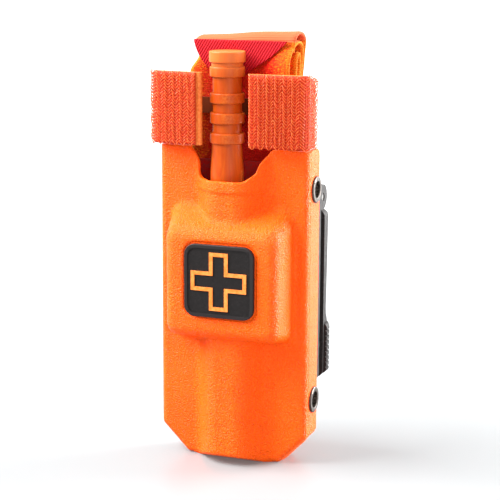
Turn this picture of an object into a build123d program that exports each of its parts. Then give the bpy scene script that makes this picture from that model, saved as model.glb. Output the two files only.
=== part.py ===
from build123d import *

import os
from math import sqrt

# A windlass tourniquet, folded and stowed in a rigid belt case with a belt clip.
# Millimetres. +Z is up, the front of the case faces -Y, and X = 0 is its middle.
# The origin is the middle of the flat face that the case stands on.

# ---- Case -------------------------------------------------------------------
case_width = 56.3
case_height = 114.5
case_depth = 12.7
wall = 1.8
corner_chamfer = 10.4
edge_radius = 1.7
rear_corner_radius = 3.0
front = -case_depth / 2
back = case_depth / 2
case_half = case_width / 2
fit_gap = 0.05
beyond = 10.0

# The raised panel, as (half width, low z, high z, corner radius), and its depth.
panel_foot = (23.3, 45.4, 93.4, 5.0)
panel_flat = (20.6, 48.6, 86.4, 4.0)
panel_front = front - 13.0
panel_edge_radius = 2.6

# The windlass channel: half widths at its face and where it meets the case.
channel_face_half = 6.0
channel_foot_half = 13.25
channel_front = front - 8.6
channel_foot_rise = 3.4

# The thumb notch in the top of the front: its edge, down the left, across and up the right.
notch_edge = [(-16.3, case_height + beyond), (-16.3, case_height), (-12.3, 109.4),
              (-12.3, 103.6), (6.5, 103.6), (9.3, 105.8), (10.4, 107.6), (10.4, 108.9),
              (14.6, case_height), (14.6, case_height + beyond)]

# Back shell
bulge_half_foot = 22.3
bulge_half_top = 21.5
bulge_back = back + 4.5
bulge_low = 2.5
bulge_chamfer = 8.0
flange_front = front + 3.0
flange_low = 13.5
flange_high = 113.5

# Eyelets
eyelet_heights = (23.2, 100.2)
eyelet_y = 8.0 + front
eyelet_bore_radius = 2.95
eyelet_barrel_radius = 3.4
eyelet_flange_radius = 4.8
eyelet_flange = 0.8
eyelet_roll_radius = 3.95
eyelet_mouth_radius = 0.35

# Badge
badge_size = 26.0
badge_corner = 4.0
badge_z = 69.0
badge_recess = 0.5
adhesive_thickness = 0.3
badge_thickness = 1.45
badge_rim = 1.2
badge_field_depth = 0.3
cross_span = 20.8
cross_arm = 7.0
cross_stroke = 1.35

# ---- Belt clip --------------------------------------------------------------
clip_half = 25.8
clip_low = 26.0
washer_thickness = 1.0
washer_radius = 5.0
base_front = bulge_back + washer_thickness
base_back = base_front + 3.6
leaf_front = base_back + 4.6
leaf_back = leaf_front + 4.4
leaf_top = 89.9
hinge_y = 17.85
hinge_z = 94.8
pin_radius = 1.5
running_gap = 0.05
lug_radius = 4.6
knuckle_radius = 4.4
knuckle_half = 13.7
lug_inner = 14.0
base_high = hinge_z + lug_radius

fixing_x = 14.0
fixing_heights = (54.0, 82.0)
post_radius = 2.4
post_head_radius = 4.2
post_head = 0.95
post_bore_radius = 1.55
screw_radius = 1.5
screw_head_radius = 4.0
screw_head = 1.4

foot_high = 34.5
latch_bar_radius = 2.1
latch_bar_z = 39.0
latch_bar_y = base_back + 2.2
spacer_low = 42.6
spacer_high = 46.6
block_half = 24.6
block_back = leaf_front - 0.45
spacer_pin_x = 18.0
spacer_pin_radius = 1.2

lever_pocket_floor = leaf_front + 1.15
lever_pocket_low = 27.2
lever_pocket_high = 46.9
core_half = 11.7
lever_tongue_inner = 15.0
lever_grip_inner = 21.3
lever_outer = 26.9
lever_back = 26.0
lever_clear = 0.2
tooth_pitch = 2.0
tooth_depth = 0.7
spring_strip = 0.5
cover_half = 18.4
cover_thickness = 0.85
slider_half = 4.9
slider_low = 56.0
slider_high = 64.2
slider_floor = 22.0

# ---- Tourniquet -------------------------------------------------------------
webbing_half = 38.1 / 2
tape_height = 25.4
rod_x = -2.3
rod_y = front + 0.2
rod_mid = 80.8
rod_edge_radius = 0.45
rod_rim_least = 6.0
# One half of the rod, as (distance from its middle, radius) pairs.
rod_half_profile = [(0.0, 5.9), (25.0, 5.9), (35.4, 5.3), (35.4, 6.1), (39.1, 6.1),
                    (39.1, 5.15), (42.4, 5.15), (42.4, 6.1), (46.2, 6.1), (46.2, 5.15),
                    (49.5, 5.15), (49.5, 6.1), (53.1, 6.1), (53.1, 5.15), (58.7, 5.15),
                    (58.7, 6.2), (62.3, 6.2), (62.3, 5.6), (63.7, 5.6), (63.7, 6.4),
                    (67.6, 6.4)]
slot_half_height = 10.5
slot_half_gap = 1.1

plate_half = 20.0
plate_front = 0.40
plate_back = 1.80
plate_low = 35.0
plate_high = 109.0
plate_corner = 5.0

holder_low = 115.7
holder_high = holder_low + tape_height
holder_mid = (holder_low + holder_high) / 2
holder_half = 28.5
holder_tip_y = -12.65
holder_corner_y = -11.35
holder_tips = (-9.7, 7.8)
holder_wall = 2.1
holder_front_radius = 3.2
holder_rear_radius = 4.0
bar_half_height = 2.8
shoulder_front = -9.5
shoulder_drop = 2.8
patch_thickness = 1.3
patch_left_end = -11.6
patch_right_end = 8.3
patch_rear = -3.35

ribbon_half = 10.9
ribbon_thickness = 0.8
ribbon_half_height = 9.5

buckle_half = 21.5
buckle_low = 7.5
buckle_high = 33.5
buckle_back = plate_front + 2.4
buckle_slot = 3.8
buckle_bar = 5.0

band_front = plate_back + 0.1
band_back = 8.55
band_low = 11.6
band_crest = 152.6

tab_thickness = 0.9
tab_top = 150.2


# ---- Shapes that many parts use ----------------------------------------------
def block(x, y, z):
    """A box from three (low, high) pairs."""
    pairs = (x, y, z)
    size = [high - low for low, high in pairs]
    middle = [(high + low) / 2 for low, high in pairs]
    return Pos(*middle) * Box(*size)


def prism_xy(points, z):
    """An outline in X and Y, from z[0] up to z[1]."""
    outline = make_face(Polyline(*points, close=True))
    return extrude(Plane.XY.offset(z[0]) * outline, z[1] - z[0])


def prism_xz(points, y):
    """An outline in X and Z, from y[0] back to y[1]."""
    outline = make_face(Polyline(*points, close=True))
    return extrude(Plane.XZ.offset(-y[1]) * outline, y[1] - y[0])


def prism_yz(points, x):
    """An outline in Y and Z, from x[0] across to x[1]."""
    outline = make_face(Polyline(*points, close=True))
    return extrude(Plane.YZ.offset(x[0]) * outline, x[1] - x[0])


def rounded_xz(half, z, radius, y):
    """A rectangle with round corners in X and Z, centred on X = 0."""
    face = Pos(0, (z[0] + z[1]) / 2) * RectangleRounded(2 * half, z[1] - z[0], radius)
    return extrude(Plane.XZ.offset(-y[1]) * face, y[1] - y[0])


def disc_x(radius, y, z, x):
    """A cylinder along X, from x[0] to x[1]."""
    disc = Cylinder(radius, x[1] - x[0], align=(Align.CENTER, Align.CENTER, Align.MIN))
    return Pos(x[0], y, z) * Rot(0, 90, 0) * disc


def disc_y(radius, x, z, y):
    """A cylinder along Y, from y[0] to y[1]."""
    disc = Cylinder(radius, y[1] - y[0], align=(Align.CENTER, Align.CENTER, Align.MIN))
    return Pos(x, y[0], z) * Rot(-90, 0, 0) * disc


def mirrored(shape):
    """The same shape on the other side of X = 0."""
    return mirror(shape, about=Plane.YZ)


def both_sides(shape):
    """A shape and its mirror image."""
    return shape + mirrored(shape)


def edges_along(shape, axis, test):
    """The straight edges along an axis whose middle passes a test."""
    return [edge for edge in shape.edges().filter_by(axis) if test(edge.center())]


# ---- Case -------------------------------------------------------------------
def tray_outline(inset):
    """The case seen from the front, made smaller by inset, past its open top."""
    half = case_half - inset
    cut = corner_chamfer - inset * (2 - sqrt(2))
    top = case_height + beyond
    right = [(half - cut, inset), (half, inset + cut), (half, top)]
    return right + [(-x, z) for x, z in reversed(right)]


def panel(inset):
    """The raised panel, made smaller by inset."""
    sections = []
    for (half, low, high, radius), y in ((panel_foot, front + inset + 0.5),
                                         (panel_flat, panel_front + inset)):
        shape = RectangleRounded(2 * (half - inset), high - low - 2 * inset, radius - inset)
        sections.append(Plane.XZ.offset(-y) * Pos(0, (low + high) / 2) * shape)
    solid = loft(sections)
    face = solid.faces().sort_by(Axis.Y)[0]
    return fillet(face.edges(), panel_edge_radius - inset)


def channel(inset):
    """The windlass channel from the case's foot to above its top, smaller by inset."""
    slope = (channel_foot_half - channel_face_half) / (front - channel_front)
    shrink = inset * sqrt(1 + slope ** 2)
    face_y = channel_front + inset
    foot_y = front + inset + 0.5
    face_half = channel_face_half + inset * slope - shrink
    foot_half = channel_face_half + (foot_y - channel_front) * slope - shrink
    points = [(-foot_half, foot_y), (-face_half, face_y), (face_half, face_y),
              (foot_half, foot_y)]
    return prism_xy(points, (inset, case_height + beyond)) - channel_foot(inset)


def channel_foot(inset):
    """What the channel's sloping underside leaves out, raised by inset."""
    slope = channel_foot_rise / (front - channel_front)
    lift = inset * sqrt(1 + slope ** 2)
    points = [(front + 1, lift - slope), (channel_front - 1, lift + channel_foot_rise + slope),
              (channel_front - 1, -1), (front + 1, -1)]
    return prism_yz(points, (-case_half, case_half))


def rear_corner():
    """What the round upper rear corner takes off the shells."""
    low = case_height - rear_corner_radius
    inner = back - rear_corner_radius
    square = block((-case_half - 1, case_half + 1), (inner, back + 1),
                   (low, case_height + beyond))
    return square - disc_x(rear_corner_radius, inner, low, (-case_half - 2, case_half + 2))


def eyelet_holes():
    """The holes that the eyelet barrels pass through."""
    span = (-case_half - 1, case_half + 1)
    radius = eyelet_barrel_radius + fit_gap
    return [disc_x(radius, eyelet_y, z, span) for z in eyelet_heights]


def front_shell():
    """The tray: front, sides and foot, with its panel, channel and notch."""
    body = prism_xz(tray_outline(0), (front, back))
    body = fillet(body.faces().sort_by(Axis.Y)[0].edges(), edge_radius)
    body += [panel(0), channel(0)]
    hollow = prism_xz(tray_outline(wall), (front + wall, back + 1))
    body -= [hollow, panel(wall), channel(wall)]
    body -= prism_xz(notch_edge, (panel_front - 5, front + wall + 0.5))
    body -= block((-40, 40), (-40, 40), (case_height, case_height + 2 * beyond))
    body -= rounded_xz(badge_size / 2 + 0.8,
                       (badge_z - badge_size / 2 - 0.8, badge_z + badge_size / 2 + 0.8),
                       badge_corner + 0.8, (panel_front - 1, panel_front + badge_recess))
    body -= rear_corner()
    body -= eyelet_holes()
    return body


def bulge_outline(inset, lift):
    """The bulge seen from behind, made smaller by inset and raised by lift."""
    half = bulge_half_foot - inset
    low = bulge_low + lift
    right = [(half - bulge_chamfer, low), (half, low + bulge_chamfer),
             (half, case_height + beyond)]
    return right + [(-x, z) for x, z in reversed(right)]


def bulge_section(inset):
    """The bulge seen from above, as a prism over the whole height."""
    foot_half = bulge_half_foot - inset
    top_half = bulge_half_top - inset
    near = back - wall - 0.5 if inset else back - wall
    points = [(-foot_half, near), (foot_half, near), (top_half, bulge_back - inset),
              (-top_half, bulge_back - inset)]
    return prism_xy(points, (0, case_height + beyond))


def back_shell():
    """The back half: a wall with a deep middle, and a flange inside each side."""
    outer_half = case_half - wall - fit_gap
    flange = block((outer_half - wall, outer_half), (flange_front, back),
                   (flange_low, flange_high))
    sheet = prism_xz(tray_outline(wall + fit_gap), (back - wall, back))
    depth = (back - wall - 1, bulge_back + 1)
    bulge = prism_xz(bulge_outline(0, 0), depth) & bulge_section(0)
    hollow = prism_xz(bulge_outline(wall, wall), depth) & bulge_section(wall)
    shell = sheet + both_sides(flange) + bulge - hollow
    shell -= block((-40, 40), (-40, 40), (case_height, case_height + 2 * beyond))
    shell -= rear_corner() - block((-bulge_half_foot, bulge_half_foot), (-40, 40), (0, 200))
    shell -= eyelet_holes()
    roll_inner = outer_half - wall - eyelet_flange - 0.1
    relief_radius = eyelet_roll_radius + 0.15
    for z in eyelet_heights:
        relief = disc_x(relief_radius, eyelet_y, z, (roll_inner, outer_half - wall))
        shell -= both_sides(relief)
    for x, z in fixing_places():
        seat = (bulge_back - wall - 1, bulge_back - wall + post_head + fit_gap)
        shell -= disc_y(post_head_radius + 0.1, x, z, seat)
        shell -= disc_y(post_radius + fit_gap, x, z, (back, bulge_back + 1))
    return shell


def eyelets():
    """The right side's two hollow rivets."""
    inner_face = case_half - 2 * wall - fit_gap
    roll = (inner_face - eyelet_flange, inner_face)
    rivets = []
    for z in eyelet_heights:
        head = disc_x(eyelet_flange_radius, eyelet_y, z, (case_half, case_half + eyelet_flange))
        head = fillet(head.edges().sort_by(Axis.X)[-1], 0.5)
        rivet = head + disc_x(eyelet_barrel_radius, eyelet_y, z, (roll[0], case_half + 0.2))
        rivet += disc_x(eyelet_roll_radius, eyelet_y, z, roll)
        rivet -= disc_x(eyelet_bore_radius, eyelet_y, z, (roll[0] - 1, case_half + 2))
        rivet = fillet(rivet.edges().filter_by(GeomType.CIRCLE).sort_by(Axis.X)[-1:],
                       eyelet_mouth_radius)
        rivets.append(rivet)
    return Compound(rivets)


# ---- Badge ------------------------------------------------------------------
def badge_square(shrink, y):
    """The badge's round-cornered square, smaller by shrink on every side."""
    half = badge_size / 2 - shrink
    return rounded_xz(half, (badge_z - half, badge_z + half), badge_corner - shrink / 2, y)


def badge_planes():
    """The y of the recess floor, the pad's back and the pad's face."""
    floor = panel_front + badge_recess
    pad_back = floor - adhesive_thickness
    return floor, pad_back, pad_back - badge_thickness


def badge_adhesive():
    """The film that holds the pad in its recess."""
    floor, pad_back, _ = badge_planes()
    return badge_square(0.5, (pad_back, floor))


def badge_pad():
    """The rubber pad, with a raised rim round a sunken field."""
    _, pad_back, face = badge_planes()
    pad = badge_square(0, (face, pad_back))
    pad = fillet(pad.faces().sort_by(Axis.Y)[0].edges(), 0.3)
    return pad - badge_square(badge_rim, (face - 1, face + badge_field_depth))


def cross_prism(span, arm, y):
    """A plain cross with four equal arms."""
    long, short = span / 2, arm / 2
    tall = block((-short, short), y, (badge_z - long, badge_z + long))
    return tall + block((-long, long), y, (badge_z - short, badge_z + short))


def badge_cross():
    """The raised outline of a cross on the pad's field."""
    face = badge_planes()[2]
    outer = cross_prism(cross_span, cross_arm, (face, face + badge_field_depth))
    narrow = 2 * cross_stroke
    inner = cross_prism(cross_span - narrow, cross_arm - narrow, (face - 1, face + 1))
    return outer - inner


# ---- Belt clip, on the case -------------------------------------------------
def fixing_places():
    """The (x, z) of the belt clip's four fixings."""
    return [(x, z) for x in (-fixing_x, fixing_x) for z in fixing_heights]


def belt_clip_base():
    """The clip's back plate with its hinge lugs, latch saddles and foot block."""
    plate = rounded_xz(clip_half, (clip_low, base_high), 3.0, (base_front, base_back))
    lug = disc_x(lug_radius, hinge_y, hinge_z, (lug_inner, clip_half))
    neck = block((lug_inner, clip_half), (base_back - 1, hinge_y), (hinge_z - lug_radius, base_high))
    foot = block((-block_half, block_half), (base_back - 1, block_back), (27.0, foot_high))
    foot = fillet(edges_along(foot, Axis.X, lambda at: at.Y > base_back), 1.2)
    saddle = block((6, 10), (base_back - 1, latch_bar_y + 0.6), (36.2, 41.8))
    base = plate + both_sides(lug + neck) + foot + both_sides(saddle)
    base -= disc_x(knuckle_radius + 0.4, hinge_y, hinge_z, (-lug_inner, lug_inner))
    base -= disc_x(pin_radius + 0.02, hinge_y, hinge_z, (-clip_half - 1, clip_half + 1))
    base -= disc_x(latch_bar_radius + 0.02, latch_bar_y, latch_bar_z, (-11, 11))
    for x, z in fixing_places():
        base -= disc_y(post_radius + fit_gap, x, z, (base_front - 1, base_front + 1.5))
        base -= disc_y(screw_radius + 0.3, x, z, (base_front, base_back))
        base -= disc_y(screw_head_radius + 0.1, x, z, (base_back - screw_head - 0.1, base_back + 1))
    for x in (-spacer_pin_x, spacer_pin_x):
        middle = (spacer_low + spacer_high) / 2
        base -= disc_y(spacer_pin_radius + 0.02, x, middle, (base_front + 0.6, base_back + 1))
    return base


def rubber_washers():
    """Four soft washers between the case and the clip."""
    rings = []
    for x, z in fixing_places():
        ring = disc_y(washer_radius, x, z, (bulge_back, base_front))
        rings.append(ring - disc_y(post_radius + fit_gap, x, z, (bulge_back - 1, base_front + 1)))
    return Compound(rings)


def binding_posts():
    """Four flat-headed posts, put in from inside the case."""
    posts = []
    head_low = bulge_back - wall + fit_gap
    for x, z in fixing_places():
        post = disc_y(post_head_radius, x, z, (head_low, head_low + post_head))
        post += disc_y(post_radius, x, z, (head_low, base_front + 1.4))
        post -= disc_y(post_bore_radius, x, z, (head_low + 1.0, base_front + 2))
        posts.append(post)
    return Compound(posts)


def clip_screws():
    """Four flat screws with a straight driver slot, sunk in the clip's base."""
    screws = []
    head_low = base_back - screw_head
    for x, z in fixing_places():
        screw = disc_y(screw_head_radius, x, z, (head_low, base_back - 0.1))
        screw += disc_y(screw_radius, x, z, (bulge_back - 0.3, head_low + 0.1))
        screw -= block((x - 3, x + 3), (base_back - 0.8, base_back + 1), (z - 0.5, z + 0.5))
        screws.append(screw)
    return Compound(screws)


def hinge_pin():
    """The steel pin of the belt clip's hinge."""
    return disc_x(pin_radius, hinge_y, hinge_z, (-clip_half + 0.3, clip_half - 0.3))


def latch_bar():
    """The round bar that the release levers latch on."""
    return disc_x(latch_bar_radius, latch_bar_y, latch_bar_z, (-block_half, block_half))


def belt_spacer():
    """The bar that closes the foot of the belt slot."""
    bar = block((-block_half, block_half), (base_back + fit_gap, block_back),
                (spacer_low, spacer_high))
    bar = fillet(edges_along(bar, Axis.X, lambda at: at.Y > base_back + 1), 1.0)
    middle = (spacer_low + spacer_high) / 2
    for x in (-spacer_pin_x, spacer_pin_x):
        bar -= disc_y(spacer_pin_radius + 0.02, x, middle, (base_back - 1, block_back + 1))
    return bar


def spacer_pins():
    """Two pins through the spacer bar into the clip's base."""
    middle = (spacer_low + spacer_high) / 2
    span = (base_front + 0.8, block_back - 0.1)
    pins = [disc_y(spacer_pin_radius, x, middle, span) for x in (-spacer_pin_x, spacer_pin_x)]
    return Compound(pins)


# ---- Belt clip, its swinging leaf -------------------------------------------
def leaf_grooves():
    """Shallow upright grooves in the leaf's outer face."""
    return [rounded_xz(1.3, (68.0, 86.0), 1.25, (leaf_back - 1.0, leaf_back + 1)).moved(Pos(x, 0, 0))
            for x in (-16.0, -8.0, 0.0, 8.0, 16.0)]


def belt_clip_leaf():
    """The leaf that swings off the belt, with a knuckle above and lever pockets below."""
    side = [(leaf_front + 0.9, clip_low), (leaf_front, clip_low + 0.9), (leaf_front, leaf_top),
            (leaf_back - 1.4, leaf_top), (leaf_back, leaf_top - 1.8), (leaf_back - 0.2, 80.0),
            (leaf_back - 1.4, 53.0), (leaf_back - 1.2, 50.0), (leaf_back, 47.5),
            (leaf_back, clip_low + 2.2), (leaf_back - 1.8, clip_low)]
    plate = prism_yz(side, (-clip_half, clip_half))
    plate &= rounded_xz(clip_half, (clip_low, leaf_top), 3.0, (leaf_front - 1, leaf_back + 1))
    knuckle = disc_x(knuckle_radius, hinge_y, hinge_z, (-knuckle_half, knuckle_half))
    web = block((-knuckle_half, knuckle_half), (leaf_front, hinge_y + knuckle_radius),
                (leaf_top - 1, hinge_z))
    leaf = plate + knuckle + web
    leaf -= disc_x(pin_radius + running_gap, hinge_y, hinge_z, (-clip_half, clip_half))
    pocket = block((core_half, clip_half + 2), (lever_pocket_floor, leaf_back + 2),
                   (lever_pocket_low, lever_pocket_high))
    prong_slot = block((16.0, 20.9), (leaf_front - 1, lever_pocket_floor + 1), (36.4, 41.6))
    leaf -= [pocket, mirrored(pocket), prong_slot, mirrored(prong_slot)]
    leaf -= block((-slider_half - 0.3, slider_half + 0.3), (slider_floor, leaf_back + 2),
                  (slider_low - 5.5, slider_high + 0.3))
    leaf -= leaf_grooves()
    for x in (-7.0, 7.0):
        leaf -= disc_y(1.12, x, 37.0, (leaf_front + 1.5, leaf_back + 1))
    return leaf


def release_lever():
    """The right-hand lever: a toothed grip, a tongue under the cover and a latch prong."""
    low = lever_pocket_low + lever_clear
    high = lever_pocket_high - lever_clear
    floor = lever_pocket_floor + lever_clear
    grip = block((lever_grip_inner, lever_outer), (floor, lever_back), (low, high))
    corner = edges_along(grip, Axis.Z, lambda at: at.X > lever_grip_inner + 1 and at.Y > floor + 1)
    grip = chamfer(corner, 1.6)
    grip = fillet(edges_along(grip, Axis.Y, lambda at: at.X > lever_grip_inner + 1), 2.0)
    tooth_low = low + 1.4
    while tooth_low + tooth_pitch < high:
        notch = [(lever_back - tooth_depth, tooth_low + 0.5 * tooth_pitch),
                 (lever_back + 1, tooth_low), (lever_back + 1, tooth_low + tooth_pitch)]
        grip -= prism_yz(notch, (lever_grip_inner - 1, lever_outer + 1))
        side = [(lever_outer - tooth_depth, tooth_low + 0.5 * tooth_pitch),
                (lever_outer + 1, tooth_low), (lever_outer + 1, tooth_low + tooth_pitch)]
        grip -= prism_xz(side, (floor - 1, lever_back + 1))
        tooth_low += tooth_pitch
    tongue = block((lever_tongue_inner, lever_grip_inner + 1), (floor, leaf_back - 0.25), (30.0, 44.0))
    prong = block((18.8, 20.6), (leaf_front - 0.1, floor + 0.5), (37.0, 41.0))
    return grip + tongue + prong


def lever_spring():
    """The right-hand spring: a bent strip between the leaf's core and the tongue."""
    near = core_half + 0.1
    reach = lever_tongue_inner - core_half - 0.2 - spring_strip
    floor = lever_pocket_floor + 0.4
    turns = [(near, 31.0), (near + reach, 33.5), (near, 36.0), (near + reach, 38.5),
             (near, 41.0), (near + reach, 43.5)]
    strip = turns + [(x + spring_strip, z) for x, z in reversed(turns)]
    return prism_xz(strip, (floor, floor + 2.2))


def leaf_cover():
    """The plate over the levers' tongues."""
    cover = rounded_xz(cover_half, (28.6, 45.4), 2.0, (leaf_back, leaf_back + cover_thickness))
    cover = fillet(cover.faces().sort_by(Axis.Y)[-1].edges(), 0.3)
    for x in (-7.0, 7.0):
        cover -= disc_y(1.12, x, 37.0, (leaf_back - 1, leaf_back + 2))
        cover -= disc_y(2.1, x, 37.0, (leaf_back + 0.35, leaf_back + 2))
    return cover


def cover_screws():
    """Two small screws that hold the cover."""
    screws = []
    for x in (-7.0, 7.0):
        screw = disc_y(2.0, x, 37.0, (leaf_back + 0.35, leaf_back + cover_thickness - 0.05))
        screw += disc_y(1.1, x, 37.0, (leaf_front + 1.7, leaf_back + 0.4))
        screw -= block((x - 1.5, x + 1.5), (leaf_back + 0.55, leaf_back + 2), (36.8, 37.2))
        screws.append(screw)
    return Compound(screws)


def lock_slider():
    """The thumb slider that locks the levers, at the top of its slot."""
    low_face = slider_floor + 0.1
    body = block((-slider_half, slider_half), (low_face, 23.9), (slider_low, slider_high))
    body = fillet(edges_along(body, Axis.Y, lambda at: True), 1.0)
    for z in (57.8, 60.1, 62.4):
        body += block((-3.6, 3.6), (23.5, 24.6), (z - 0.45, z + 0.45))
    return body


# ---- Tourniquet -------------------------------------------------------------
def windlass_rod():
    """The rod: two like halves with ribs and a head, and a slot through the middle."""
    upper = [(radius, rod_mid + away) for away, radius in rod_half_profile]
    lower = [(radius, rod_mid - away) for away, radius in reversed(rod_half_profile[1:])]
    half = rod_half_profile[-1][0]
    outline = [(0, rod_mid - half)] + lower + upper[1:] + [(0, rod_mid + half)]
    rod = revolve(Plane.XZ * make_face(Polyline(*outline, close=True)), Axis.Z)
    rims = [edge for edge in rod.edges().filter_by(GeomType.CIRCLE) if edge.radius > rod_rim_least]
    rod = fillet(rims, rod_edge_radius)
    rod = Pos(rod_x, rod_y, 0) * rod
    slot = block((rod_x - 8, rod_x + 8), (rod_y - slot_half_gap, rod_y + slot_half_gap),
                 (rod_mid - slot_half_height, rod_mid + slot_half_height))
    slot = fillet(edges_along(slot, Axis.X, lambda at: True), slot_half_gap - 0.1)
    return rod - slot


def holder_block(grow):
    """The holder's closed outline seen from above, larger by grow, full height."""
    half = holder_half + grow
    rear = plate_back + min(grow, 0)
    tip, corner = holder_tip_y - grow, holder_corner_y - grow
    if grow < 0:
        rear = plate_front
    points = [(-half, corner), (holder_tips[0], tip), (holder_tips[1], tip), (half, corner),
              (half, rear), (-half, rear)]
    solid = prism_xy(points, (holder_low, holder_high))
    front_edges = edges_along(solid, Axis.Z, lambda at: abs(at.X) > 20 and at.Y < -5)
    solid = fillet(front_edges, holder_front_radius + grow)
    rear_edges = edges_along(solid, Axis.Z, lambda at: abs(at.X) > 20 and at.Y > -1)
    return fillet(rear_edges, holder_rear_radius + grow)


def holder_shoulders():
    """What the falling tops of the holder's side walls leave out."""
    points = [(shoulder_front, holder_high), (patch_rear, holder_high - shoulder_drop),
              (plate_front, holder_mid + bar_half_height),
              (plate_back + 1, holder_mid + bar_half_height), (plate_back + 1, holder_high + 1),
              (shoulder_front, holder_high + 1)]
    return prism_yz(points, (-40, 40))


def windlass_clip():
    """The C-shaped holder: two tall wings joined by a low bar behind the rod."""
    ring = holder_block(0) - holder_block(-holder_wall)
    ring -= block(holder_tips, (-20, front), (holder_low - 1, holder_high + 1))
    top = holder_high + 1
    upper = [(-25.5, top), (-19.0, holder_mid + bar_half_height),
             (19.0, holder_mid + bar_half_height), (25.5, top)]
    lower = [(x, 2 * holder_mid - z) for x, z in upper]
    rear = (front + 4.5, plate_back + 1)
    ring -= [prism_xz(upper, rear), prism_xz(lower, rear), holder_shoulders()]
    tips = edges_along(ring, Axis.Z, lambda at: abs(at.X) < 12 and at.Y < front)
    return fillet(tips, 0.8)


def hook_patch(right):
    """Hook tape round the outside of one wing."""
    tape = holder_block(patch_thickness) - holder_block(0)
    if right:
        keep = block((patch_right_end, 40), (-30, patch_rear), (100, 150))
    else:
        keep = block((-40, patch_left_end), (-30, patch_rear), (100, 150))
    return (tape & keep) - holder_shoulders()


def stabilization_plate():
    """The plate behind the rod, with two slots for the ribbon."""
    plate = rounded_xz(plate_half, (plate_low, plate_high), plate_corner, (plate_front, plate_back))
    slot_z = (rod_mid - slot_half_height, rod_mid + slot_half_height)
    slot = block((ribbon_half - 1.7, ribbon_half + 0.9), (plate_front - 1, plate_back + 1), slot_z)
    return plate - both_sides(slot)


def internal_band():
    """The ribbon: through the rod's slot, back through the plate and behind it."""
    near, far = rod_y - ribbon_thickness / 2, plate_back + ribbon_thickness + 0.1
    outer = [(-ribbon_half, far), (-ribbon_half, rod_y + 1.6), (rod_x - 6.8, near),
             (rod_x + 7.2, near), (ribbon_half, rod_y + 1.6), (ribbon_half, far)]
    t = ribbon_thickness
    inner = [(-ribbon_half + t, far - t), (-ribbon_half + t, rod_y + 2.0), (rod_x - 6.5, near + t),
             (rod_x + 6.9, near + t), (ribbon_half - t, rod_y + 2.0), (ribbon_half - t, far - t)]
    span = (rod_mid - ribbon_half_height, rod_mid + ribbon_half_height)
    return prism_xy(outer, span) - prism_xy(inner, (span[0] - 1, span[1] + 1))


def routing_buckle():
    """A flat buckle with two slots for the band."""
    y = (plate_front, buckle_back)
    frame = rounded_xz(buckle_half, (buckle_low, buckle_high), 3.0, y)
    slot_half = webbing_half + 0.6
    low = buckle_low + buckle_bar
    high = buckle_high - buckle_bar
    lower = block((-slot_half, slot_half), (y[0] - 1, y[1] + 1), (low, low + buckle_slot))
    upper = block((-slot_half, slot_half), (y[0] - 1, y[1] + 1), (high - buckle_slot, high))
    return frame - lower - upper


def outer_band():
    """The folded band: a flat stack in the case with its loops above."""
    crest = [(band_front, 146.0), (4.9, band_crest), (9.2, 151.4), (14.0, 147.6), (15.2, 143.8),
             (13.9, 139.6), (11.0, 131.6), (8.9, 123.0), (band_back, 116.0)]
    loops = Spline(*crest, tangents=[(0, 1), (0, -1)])
    sides = Polyline(crest[-1], (band_back, band_low), (band_front, band_low), crest[0])
    face = Plane.YZ.offset(-webbing_half) * make_face([loops, sides])
    band = extrude(face, 2 * webbing_half)
    over_buckle = block((-30, 30), (band_front - 1, buckle_back + 0.15), (0, buckle_high + 1))
    ribbon_back = plate_back + ribbon_thickness + 0.3
    over_ribbon = block((-ribbon_half - 0.6, ribbon_half + 0.6), (band_front - 1, ribbon_back),
                        (rod_mid - slot_half_height, rod_mid + slot_half_height))
    return band - over_buckle - over_ribbon


def band_tip_tab():
    """The round-ended tab that hangs in front of the loops."""
    edge = Spline((-18.2, tab_top), (-12.2, 142.2), (-4.0, 137.0), (4.7, 141.6), (16.6, tab_top))
    face = make_face([edge, Line((16.6, tab_top), (-18.2, tab_top))])
    return extrude(Plane.XZ.offset(-plate_back) * face, tab_thickness)


# ---- All parts --------------------------------------------------------------
eyelet_pair = eyelets()
lever = release_lever()
spring = lever_spring()
parts = {
    "front_shell": front_shell(),
    "back_shell": back_shell(),
    "side_eyelets_right": eyelet_pair,
    "side_eyelets_left": mirrored(eyelet_pair),
    "badge_adhesive": badge_adhesive(),
    "badge_pad": badge_pad(),
    "badge_cross": badge_cross(),
    "belt_clip_base": belt_clip_base(),
    "rubber_washers": rubber_washers(),
    "binding_posts": binding_posts(),
    "clip_screws": clip_screws(),
    "hinge_pin": hinge_pin(),
    "latch_bar": latch_bar(),
    "belt_spacer": belt_spacer(),
    "spacer_pins": spacer_pins(),
    "belt_clip_leaf": belt_clip_leaf(),
    "leaf_cover": leaf_cover(),
    "cover_screws": cover_screws(),
    "release_lever_right": lever,
    "release_lever_left": mirrored(lever),
    "lever_spring_right": spring,
    "lever_spring_left": mirrored(spring),
    "lock_slider": lock_slider(),
    "windlass_rod": windlass_rod(),
    "windlass_clip": windlass_clip(),
    "hook_patch_left": hook_patch(False),
    "hook_patch_right": hook_patch(True),
    "stabilization_plate": stabilization_plate(),
    "internal_band": internal_band(),
    "routing_buckle": routing_buckle(),
    "outer_band": outer_band(),
    "band_tip_tab": band_tip_tab(),
}

os.makedirs("parts", exist_ok=True)
for name, shape in parts.items():
    export_step(shape, f"parts/{name}.step")
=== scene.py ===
import math
import random

import bpy
import numpy as np
from mathutils import Matrix, Vector


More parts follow.
